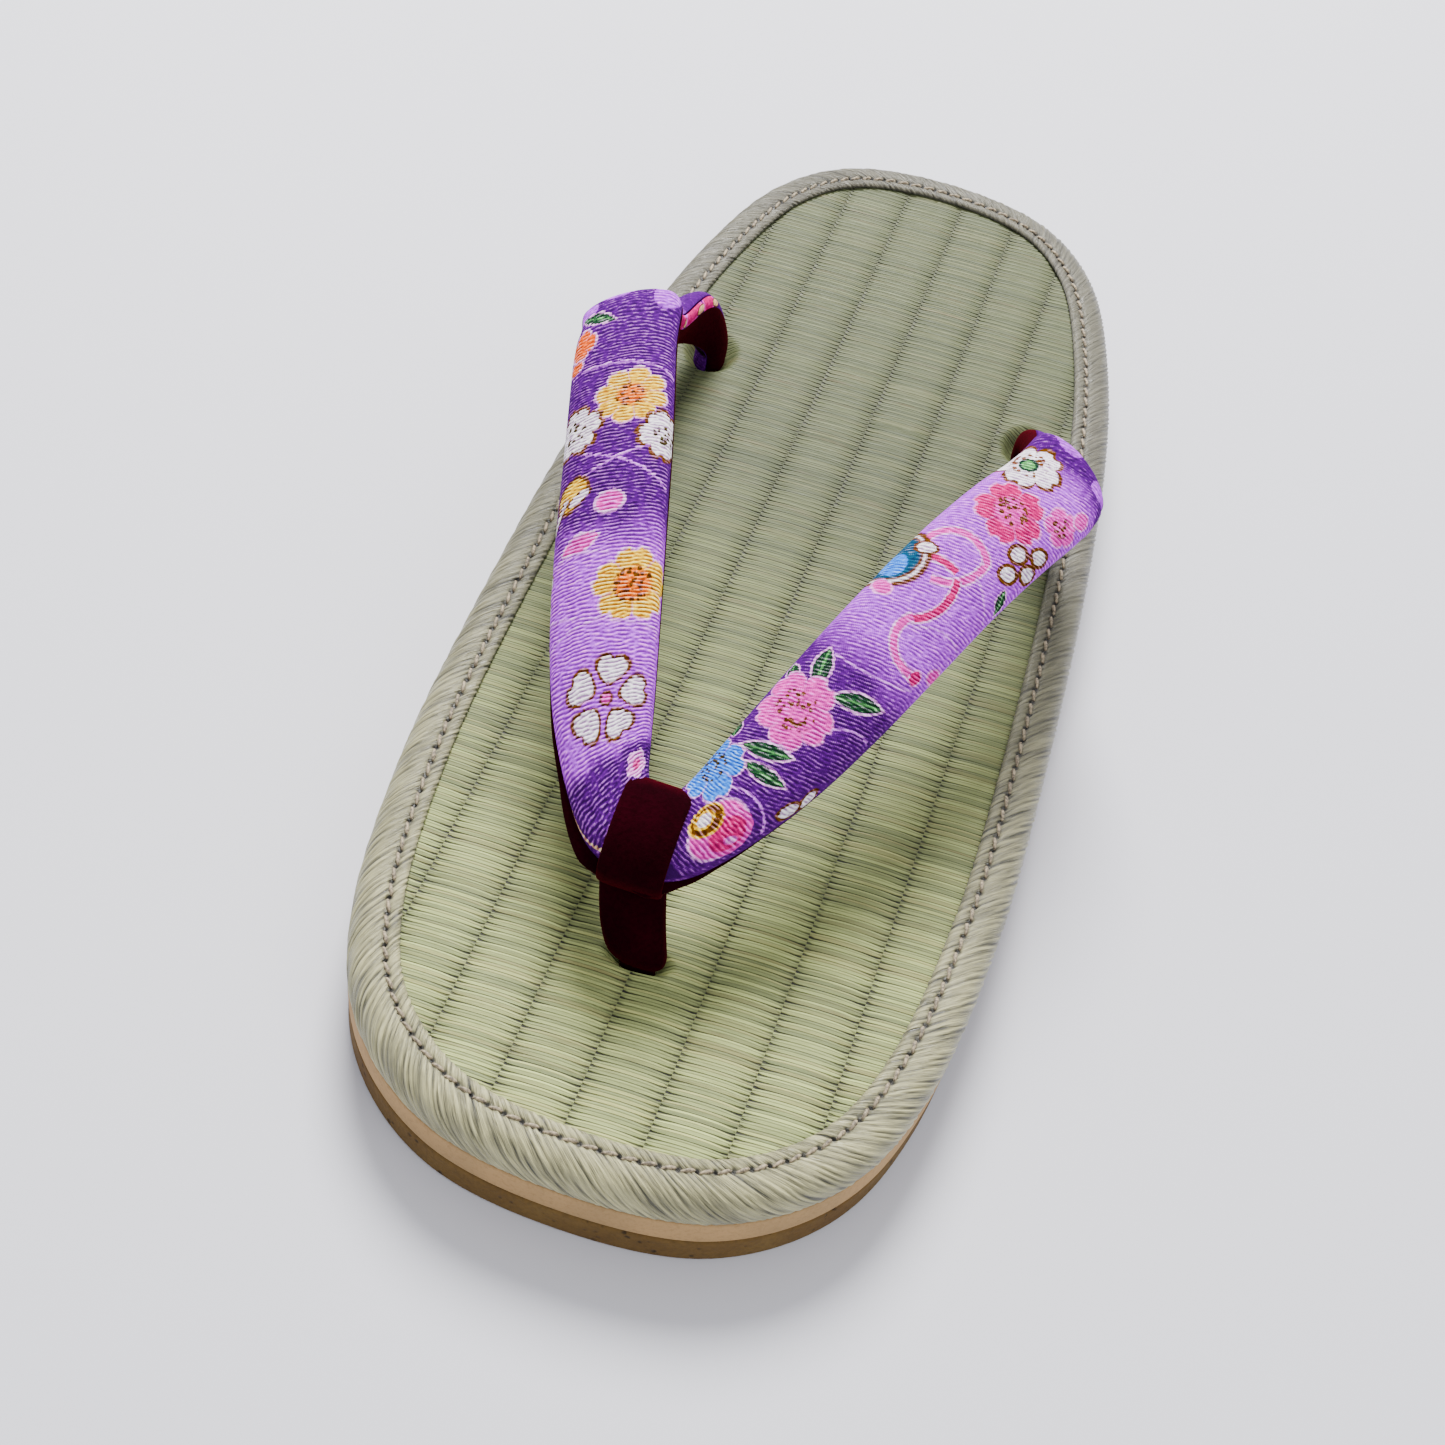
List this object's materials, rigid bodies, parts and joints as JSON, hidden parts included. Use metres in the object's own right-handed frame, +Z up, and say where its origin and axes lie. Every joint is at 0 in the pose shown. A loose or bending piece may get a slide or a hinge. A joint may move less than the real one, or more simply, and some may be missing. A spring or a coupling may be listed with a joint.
{
  "type": "zori sandal",
  "caption": "Flat thong sandal with a woven rush footbed, taped edge, foam and rubber sole, and a padded printed V strap held by a velvet toe thong.",
  "frame": {"origin": "on the floor, under the middle of the sole", "axes": "+Z up, +Y from the toe towards the heel, +X to the right when seen from the toe"},
  "size_m": [0.098, 0.244, 0.0527],
  "materials": {
    "outsole_rubber": "matt sponge rubber",
    "midsole_foam": "matt closed-cell foam",
    "tatami_rush": "woven rush, faint sheen along the stalks",
    "edge_tape": "ribbed satin tape",
    "strap_crepe": "printed crepe, crinkled across the strap",
    "strap_velvet": "velvet",
    "thong_velvet": "velvet"
  },
  "bodies": {
    "root": {"outsole": "outsole_rubber", "midsole": "midsole_foam", "footbed": "tatami_rush", "edge_tape": "edge_tape", "strap_cover": "strap_crepe", "strap_lining": "strap_velvet", "toe_thong": "thong_velvet"}
  },
  "joints": []
}
